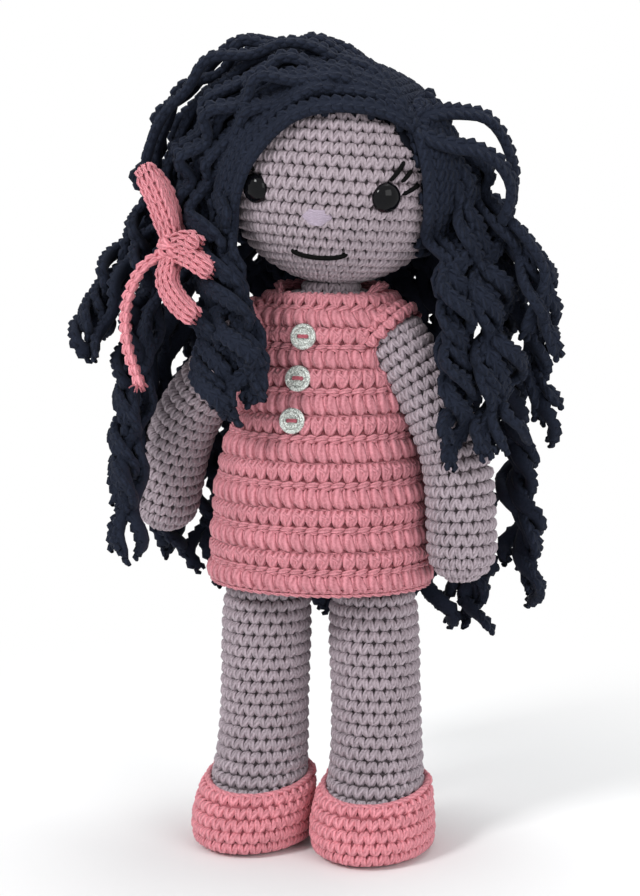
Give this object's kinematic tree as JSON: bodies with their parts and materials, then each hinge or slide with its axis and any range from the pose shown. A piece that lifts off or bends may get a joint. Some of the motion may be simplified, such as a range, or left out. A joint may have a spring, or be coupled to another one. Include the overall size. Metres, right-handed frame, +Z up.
{
  "type": "crochet doll",
  "caption": "Standing crochet doll with stuffed head, body, arms and legs, flared dress, slip-on shoes, button front, long crinkled hair and a cord bow.",
  "frame": {"origin": "on the floor under the middle of the doll's overall box", "axes": "+Z up, -Y to the doll's front, +X to the doll's own left"},
  "size_m": [0.2004, 0.1163, 0.3352],
  "materials": {
    "skin_yarn": "matte cotton yarn, mauve grey",
    "hair_yarn": "matte cotton yarn, navy black",
    "dress_yarn": "matte cotton yarn, dusty rose",
    "pink_yarn": "matte cotton yarn, pink",
    "nose_yarn": "satin stitches, pale lilac",
    "fibre_filling": "white polyester fibre",
    "black_thread": "matte black thread",
    "sewing_thread": "rose sewing thread",
    "eye_gloss": "glossy black",
    "washer_plastic": "white plastic",
    "button_face": "pale grey with glitter"
  },
  "bodies": {
    "torso": {"torso_cover": "skin_yarn", "torso_filling": "fibre_filling", "dress": "dress_yarn", "button_top": "button_face", "button_middle": "button_face", "button_bottom": "button_face", "button_thread_top": "sewing_thread", "button_thread_middle": "sewing_thread", "button_thread_bottom": "sewing_thread"},
    "head": {"head_cover": "skin_yarn", "head_filling": "fibre_filling", "nose_stitches": "nose_yarn", "mouth_stitch": "black_thread", "wig_cap": "hair_yarn", "left_eye": "eye_gloss", "left_eye_washer": "washer_plastic", "left_lash_1": "black_thread", "left_lash_2": "black_thread", "left_lash_3": "black_thread", "right_eye": "eye_gloss", "right_eye_washer": "washer_plastic", "right_lash_1": "black_thread", "right_lash_2": "black_thread", "right_lash_3": "black_thread", "hair_left_1": "hair_yarn", "hair_left_2": "hair_yarn", "hair_left_3": "hair_yarn", "hair_left_4": "hair_yarn", "hair_left_5": "hair_yarn", "hair_left_6": "hair_yarn", "hair_left_7": "hair_yarn", "hair_left_8": "hair_yarn", "hair_right_1": "hair_yarn", "hair_right_2": "hair_yarn", "hair_right_3": "hair_yarn", "hair_right_4": "hair_yarn", "hair_right_5": "hair_yarn", "hair_right_6": "hair_yarn", "hair_right_7": "hair_yarn", "hair_right_8": "hair_yarn", "hair_right_9": "hair_yarn", "bow_knot": "pink_yarn", "bow_upper_loop": "pink_yarn", "bow_side_loop": "pink_yarn", "bow_short_tail": "pink_yarn", "bow_thick_tail": "pink_yarn", "bow_long_tail": "pink_yarn"},
    "left_arm": {"left_arm_cover": "skin_yarn", "left_arm_filling": "fibre_filling"},
    "left_leg": {"left_leg_cover": "skin_yarn", "left_leg_filling": "fibre_filling", "left_shoe": "pink_yarn"},
    "right_arm": {"right_arm_cover": "skin_yarn", "right_arm_filling": "fibre_filling"},
    "right_leg": {"right_leg_cover": "skin_yarn", "right_leg_filling": "fibre_filling", "right_shoe": "pink_yarn"}
  },
  "joints": [
    {"name": "head_turn", "type": "hinge", "parent": "torso", "child": "head", "pos_m": [0.004, -0.006, 0.237], "axis": [0, 0, 1], "range_deg": [-25, 25], "deforming": ["hair_left_1", "hair_left_2", "hair_left_3", "hair_left_4", "hair_left_5", "hair_left_6", "hair_left_7", "hair_left_8", "hair_right_1", "hair_right_2", "hair_right_3", "hair_right_4", "hair_right_5", "hair_right_6", "hair_right_7", "hair_right_8", "hair_right_9"]},
    {"name": "left_shoulder", "type": "hinge", "parent": "torso", "child": "left_arm", "pos_m": [0.0331, -0.011, 0.213], "axis": [-1, 0, 0], "range_deg": [-35, 60]},
    {"name": "left_hip", "type": "hinge", "parent": "torso", "child": "left_leg", "pos_m": [0.022, -0.006, 0.112], "axis": [-1, 0, 0], "range_deg": [-20, 30], "stiffness_Nm_per_rad": 1},
    {"name": "right_shoulder", "type": "hinge", "parent": "torso", "child": "right_arm", "pos_m": [-0.0269, -0.011, 0.213], "axis": [-1, 0, 0], "range_deg": [-35, 60]},
    {"name": "right_hip", "type": "hinge", "parent": "torso", "child": "right_leg", "pos_m": [-0.024, -0.006, 0.112], "axis": [-1, 0, 0], "range_deg": [-20, 30], "stiffness_Nm_per_rad": 1}
  ]
}
